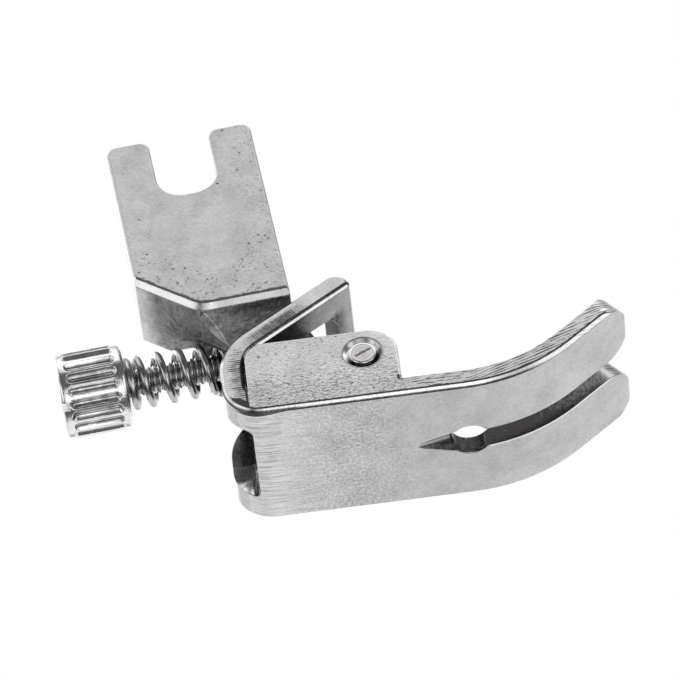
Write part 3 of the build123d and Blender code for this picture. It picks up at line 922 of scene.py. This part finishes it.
def skin_of_rings(name, rings):
    """A closed mesh from rings of points, each joined to the next."""
    shape = bmesh.new()
    grid = [[shape.verts.new(p) for p in ring] for ring in rings]
    count = len(rings[0])
    for before, after in zip(grid, grid[1:]):
        for k in range(count):
            nxt = (k + 1) % count
            shape.faces.new((before[k], before[nxt], after[nxt], after[k]))
    shape.faces.new(list(reversed(grid[0])))
    shape.faces.new(grid[-1])
    bmesh.ops.recalc_face_normals(shape, faces=shape.faces)
    return placed_mesh(name, shape)


def placed_mesh(name, shape):
    """A new object in the scene from a finished shape."""
    mesh = bpy.data.meshes.new(name)
    shape.to_mesh(mesh)
    shape.free()
    return placed(name, mesh)


def smooth_but_sharp(piece, degrees):
    """Smooth shading that keeps edges sharper than an angle."""
    bpy.context.view_layer.objects.active = piece
    piece.select_set(True)
    bpy.ops.object.shade_smooth_by_angle(angle=math.radians(degrees))
    piece.select_set(False)


print("ring helpers ready")

# %% Turn the head
FLUTES = 20
FLUTE_DEPTH = 0.3 * MM
FLUTE_HALF = 0.4 * MM
FLUTE_LAND = 0.62 * MM
POINTS_PER_FLUTE = 24
RIM_STEPS = [s * MM for s in (0, 0.01, 0.04, 0.09, 0.16, 0.25, 0.35, 0.5, 0.6)]
FLUTE_STEPS = [FLUTE_LAND + 0.03 * MM * k for k in range(1, 13)]


def head_radius(step, angle):
    """The head's radius: rounded rims, and round-bottomed flutes that run out before both ends."""
    from_end = min(step, HEAD_LENGTH - step)
    inside = max(0.0, HEAD_RIM - from_end)
    round_off = HEAD_RIM - math.sqrt(max(0.0, HEAD_RIM**2 - inside**2))
    turn = math.tau / FLUTES
    off_middle = abs((angle + turn / 2) % turn - turn / 2) * HEAD_RADIUS / FLUTE_HALF
    off_end = max(0.0, 1.0 - (from_end - FLUTE_LAND) / FLUTE_HALF)
    sink = max(0.0, 1.0 - off_middle**2 - off_end**2)
    return HEAD_RADIUS - round_off - FLUTE_DEPTH * sink


def head_ring(step):
    """The head's ring at a step from its back."""
    return ring_at(HEAD_BACK + step, lambda a: head_radius(step, a), FLUTES * POINTS_PER_FLUTE)


half_steps = RIM_STEPS + FLUTE_STEPS
head_steps = half_steps + [HEAD_LENGTH - step for step in reversed(half_steps)]
head = skin_of_rings("screw_head", [head_ring(step) for step in head_steps])
print("screw head:", len(head_steps), "rings,", FLUTES, "flutes")

# %% Cut the driver's slot
DRIVER_WIDTH = 0.6 * MM
DRIVER_DEPTH = 0.55 * MM
DRIVER_TURN = math.radians(56)

slot_shape = bmesh.new()
slot_box = Matrix.Diagonal((2 * DRIVER_DEPTH, 3 * HEAD_RADIUS, DRIVER_WIDTH, 1))
slot_place = Matrix.Translation((HEAD_BACK, 0, AXIS_Z)) @ Matrix.Rotation(DRIVER_TURN, 4, "X")
bmesh.ops.create_cube(slot_shape, size=1, matrix=slot_place @ slot_box)
slot_cutter = placed_mesh("driver_slot", slot_shape)
cut = head.modifiers.new("driver_slot", "BOOLEAN")
cut.object = slot_cutter
cut.operation = "DIFFERENCE"
cut.solver = "EXACT"
bpy.context.view_layer.objects.active = head
bpy.ops.object.modifier_apply(modifier=cut.name)
bpy.data.objects.remove(slot_cutter)
smooth_but_sharp(head, degrees=38)
print("screw head:", len(head.data.polygons), "faces")

# %% Cut the thread on the shaft
THREAD_PITCH = 0.4 * MM
THREAD_DEPTH = 0.2 * MM
CREST, FLANK = 1.35, 3.1
NECK = 0.6 * MM
TIP_DOME = 0.5 * MM
SHAFT_START = HEAD_FRONT - 0.2 * MM
RINGS_PER_MM = 24
POINTS_PER_TURN = 40


def shaft_radius(x, angle):
    """The thread's radius, worn round at the crest, with a plain neck and a domed tip."""
    turn = ((x - HEAD_FRONT) / THREAD_PITCH - angle / math.tau) % 1.0
    crest = min(1.0, max(0.0, CREST - abs(turn - 0.5) * FLANK))
    neck = soft_step(x, HEAD_FRONT, HEAD_FRONT + NECK)
    radius = SHAFT_RADIUS - THREAD_DEPTH * (1 - crest) * neck
    short = max(0.0, TIP_DOME - (SCREW_TIP - x))
    return min(radius, SHAFT_RADIUS - TIP_DOME + math.sqrt(max(0.0, TIP_DOME**2 - short**2)))


def shaft_ring(x):
    """The shaft's ring at a place along X."""
    return ring_at(x, lambda a: shaft_radius(x, a), POINTS_PER_TURN)


shaft_length = SCREW_TIP - SHAFT_START
ring_count = int(shaft_length / MM * RINGS_PER_MM)
shaft_xs = [SHAFT_START + shaft_length * k / ring_count for k in range(ring_count + 1)]
shaft = skin_of_rings("screw_shaft", [shaft_ring(x) for x in shaft_xs])
smooth_but_sharp(shaft, degrees=60)
for piece in (head, shaft):
    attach(piece, "adjusting_screw")
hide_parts("adjusting_screw")
print("screw shaft:", len(shaft.data.polygons), "faces")

# %% [markdown]
# ## Bright plate for the screw
# The screw is plated brighter than the rest and worn by fingers, so its ridges are almost mirrors,
# while the flutes are darker, more so in patches, and so are the roots between the threads. How far a
# point is from the axis tells a ridge from a valley, so one material serves the head and the shaft.

# %% Bright plate


def bright_plate():
    material, tree, shader = blank_finish("bright_plate")
    at = millimetres(tree)
    along = parts_of(tree, at)["X"]
    radius = off_axis(tree, at, (0, 0, AXIS_Z / MM), "X")
    back, front, top = HEAD_BACK / MM, HEAD_FRONT / MM, HEAD_RADIUS / MM
    on_head = mask(tree, along, front, front - 0.02)
    fluted = both(tree, on_head, between(tree, along, back + 0.45, front - 0.4, 0.12))
    valley = both(tree, fluted, mask(tree, radius, top - 0.05, top - 0.22))
    valley_patches = both(tree, valley, mask(tree, grain(tree, at, 0.9, 2.0), 0.4, 0.6))
    root = without(tree, mask(tree, radius, 1.02, 0.9), on_head)
    rub = grain(tree, at, 4.0, 3.0, stretch=(0.3, 1.0, 1.0))
    cloud = grain(tree, at, 1.1, 3.0)
    tone = total(tree, 0.95, (swing(tree, cloud), 0.3), (swing(tree, rub), 0.5))
    tone = total(tree, tone, (valley, -0.14), (valley_patches, -0.4), (root, -0.6))
    rough = total(tree, 0.06, (rub, 0.14), (valley, 0.1), (root, 0.15))
    shade(tree, shader, tone, 0.1, 0.9, rough)
    relief(tree, shader, rub, 0.03, 0.6, eased_edges(tree, 0.05)[0])
    return material


plate = bright_plate()
dress(head, plate)
dress(shaft, plate)
print("screw dressed with", plate.name)

# %% [markdown]
# ## The spring
# A compression spring is closed at its ends: the last coil lies against the next one and is ground
# flat so that it sits square. So the pitch can't be constant.

# %% Measures of the spring
spring_low, spring_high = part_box("spring")
WIRE = 0.6 * MM
COIL_RADIUS = (spring_high.z - spring_low.z) / 2 - WIRE / 2
START_X, SEAT_X = spring_low.x, spring_high.x
TURNS = 6.37
CLOSED_PITCH, OPEN_PITCH = 0.6, 1.56
CLOSED_TURNS, OPEN_TURNS = 0.2, 1.5
START_ANGLE = math.radians(318)
STEPS_PER_TURN = 56
WIRE_SIDES = 16
print("spring:", round((SEAT_X - START_X) / MM, 2), "mm long, coil radius", round(COIL_RADIUS / MM, 2))

# %% Wind the spring


def coil_places():
    """How far along the spring each step lies, from 0 to 1: slow in the end coils, quick between."""
    count = int(TURNS * STEPS_PER_TURN)
    places = [0.0]
    for k in range(count):
        turn = TURNS * (k + 0.5) / count
        opened = soft_step(min(turn, TURNS - turn), CLOSED_TURNS, OPEN_TURNS)
        places.append(places[-1] + CLOSED_PITCH + (OPEN_PITCH - CLOSED_PITCH) * opened)
    return [p / places[-1] for p in places]


def coil_path():
    """The wire's middle line, a third of the wire in from both seats."""
    places = coil_places()
    sink = WIRE / 3
    path = []
    for k, share in enumerate(places):
        angle = START_ANGLE - math.tau * TURNS * k / (len(places) - 1)
        x = START_X + sink + (SEAT_X - START_X - 2 * sink) * share
        path.append(round_axis(x, COIL_RADIUS, angle))
    return path


def wound_wire(name):
    """A round wire along the coil, pressed flat where it meets the head and the shank."""
    path = coil_path()
    rings = []
    for k, centre in enumerate(path):
        ahead = (path[min(k + 1, len(path) - 1)] - path[max(k - 1, 0)]).normalized()
        outward = Vector((0, centre.y, centre.z - AXIS_Z)).normalized()
        aside = ahead.cross(outward).normalized()
        outward = aside.cross(ahead)
        ring = []
        for j in range(WIRE_SIDES):
            a = math.tau * j / WIRE_SIDES
            point = centre + (outward * math.cos(a) + aside * math.sin(a)) * (WIRE / 2)
            point.x = min(max(point.x, START_X), SEAT_X)
            ring.append(point)
        rings.append(ring)
    return skin_of_rings(name, rings)


spring = wound_wire("wound_spring")
smooth_but_sharp(spring, degrees=40)
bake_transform(spring)
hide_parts("spring")
print("spring:", len(spring.data.polygons), "faces")

# %% [markdown]
# ## Drawn wire
# Spring wire is pulled through a die, which leaves it bright with faint streaks. The inside of each
# coil gets painted shade: the distance from the screw's axis darkens it.

# %% Finish of the wire


def drawn_wire():
    material, tree, shader = blank_finish("drawn_wire")
    at = millimetres(tree)
    radius = off_axis(tree, at, (0, 0, AXIS_Z / MM), "X")
    middle = COIL_RADIUS / MM
    # painted shade on the inside of the coils
    inside = mask(tree, radius, middle + 0.05, middle - 0.2)
    streak = grain(tree, at, 5.0, 3.0, stretch=(1.0, 0.4, 0.4))
    tone = total(tree, 0.4, (streak, 0.6), (inside, -0.45))
    shade(tree, shader, tone, 0.1, 0.72, total(tree, 0.1, (streak, 0.14)))
    relief(tree, shader, streak, 0.012, 0.5, eased_edges(tree, 0.03)[0])
    return material


dress(spring, drawn_wire())
print("spring dressed")

# %% [markdown]
# ## Floor, light and background
# The photograph looks up at the sole, from under any floor the foot could stand on. So the floor is
# one-sided: from above it is a pale sheet that takes the foot's shadow, and from below, or in a
# reflection, it isn't there and the background shows instead.

# %% Floor
FLOOR_GAP = 0.3 * MM
FLOOR_SIZE = 1.5


def one_sided_floor():
    material, tree, shader = blank_finish("pale_floor", metallic=0.0)
    shader.inputs["Roughness"].default_value = 0.85
    at = add(tree, "ShaderNodeTexCoord").outputs["Object"]
    fleck = add(tree, "ShaderNodeTexNoise", {"Vector": at, "Scale": 40.0}).outputs[0]
    tree.links.new(tint(tree, fleck, 0.84, 0.89), shader.inputs["Base Color"])
    path = add(tree, "ShaderNodeLightPath").outputs
    behind = add(tree, "ShaderNodeNewGeometry").outputs["Backfacing"]
    unseen = any_of(tree, path["Is Glossy Ray"], path["Is Shadow Ray"], behind)
    clear = add(tree, "ShaderNodeBsdfTransparent").outputs[0]
    joined = add(tree, "ShaderNodeMixShader", {0: unseen, 1: shader.outputs[0], 2: clear})
    tree.links.new(joined.outputs[0], tree.nodes["Material Output"].inputs["Surface"])
    return material


floor_height = cad_low.z - FLOOR_GAP
floor_shape = bmesh.new()
lowered = Matrix.Translation((0, 0, floor_height))
bmesh.ops.create_grid(floor_shape, x_segments=1, y_segments=1, size=FLOOR_SIZE, matrix=lowered)
floor = placed_mesh("floor", floor_shape)
dress(floor, one_sided_floor())
print("floor at mm:", round(floor_height / MM, 2))

# %% [markdown]
# ## The studio
# Polished metal only shows what is around it. The studio is a dim room with large white sheets: one
# for each broad face of the foot to mirror, and dark gaps between them that draw the edges. Lamps
# could do it, but soft spots of the world throw no hard shadow. Each has a direction, the angle up
# to which it is full, the angle at which it ends, and a brightness.

# %% White sheets round the foot
ROOM = 0.12
SHEETS = {
    "above the clamp face": ((0.06, -0.51, 0.857), 4, 38, 1.42),
    "below the sole": ((-0.05, 0.75, -0.66), 24, 43, 0.95),
    "below the toes": ((0.63, 0.75, -0.21), 24, 46, 1.05),
    "by the camera": ((0.06, -0.66, -0.75), 14, 31, 0.92),
    "low on the right": ((0.72, -0.53, -0.44), 12, 27, 1.35),
    "low on the left": ((-0.80, -0.52, -0.27), 12, 28, 1.15),
    "high on the left": ((-0.75, -0.06, 0.66), 22, 50, 1.15),
    "high on the right": ((0.75, 0.06, 0.66), 16, 42, 0.8),
    "behind the heel": ((-0.66, 0.75, -0.06), 18, 44, 0.95),
    "backdrop": ((0.06, 0.75, 0.66), 20, 48, 1.3),
    "overhead": ((0.0, 0.0, 1.0), 14, 40, 0.70),
}


def studio_world():
    world = bpy.data.worlds.new("studio")
    bpy.context.scene.world = world
    world.use_nodes = True
    tree = world.node_tree
    way = add(tree, "ShaderNodeTexCoord").outputs["Generated"]
    sheets = []
    for middle, full, end, brightness in SHEETS.values():
        near = vectors(tree, "DOT_PRODUCT", way, tuple(Vector(middle).normalized()))
        lit = mask(tree, near, *(math.cos(math.radians(a)) for a in (end, full)))
        sheets.append(total(tree, ROOM, (lit, brightness - ROOM)))
    path = add(tree, "ShaderNodeLightPath").outputs
    seen = any_of(tree, path["Is Camera Ray"], path["Is Transmission Ray"])
    shown = either(tree, seen, 1.0, any_of(tree, *sheets))
    background = tree.nodes["Background"]
    tree.links.new(shown, background.inputs["Strength"])
    background.inputs["Color"].default_value = (1, 1, 1, 1)


studio_world()
print("sheets:", ", ".join(SHEETS))

# %% Lamps
LAMP_DISTANCE = 0.5
LAMPS = {
    "key": ((0.7, -0.5, 0.9), 0.25, 0.2),
    "under": ((0.06, -0.66, -0.75), 0.12, 0.06),
    "rim": ((-0.5, 0.5, 0.8), 0.3, 0.3),
}


def softbox(name, way, size, watts):
    """A square lamp that looks at the foot from a given way."""
    lamp = bpy.data.lights.new(name, "AREA")
    lamp.shape = "SQUARE"
    lamp.size = size
    lamp.energy = watts
    made = placed(name, lamp)
    made.location = AIM + Vector(way).normalized() * LAMP_DISTANCE
    made.rotation_mode = "QUATERNION"
    made.rotation_quaternion = (AIM - made.location).to_track_quat("-Z", "Y")


for name, settings in LAMPS.items():
    softbox(name, *settings)
print("lamps:", ", ".join(LAMPS))
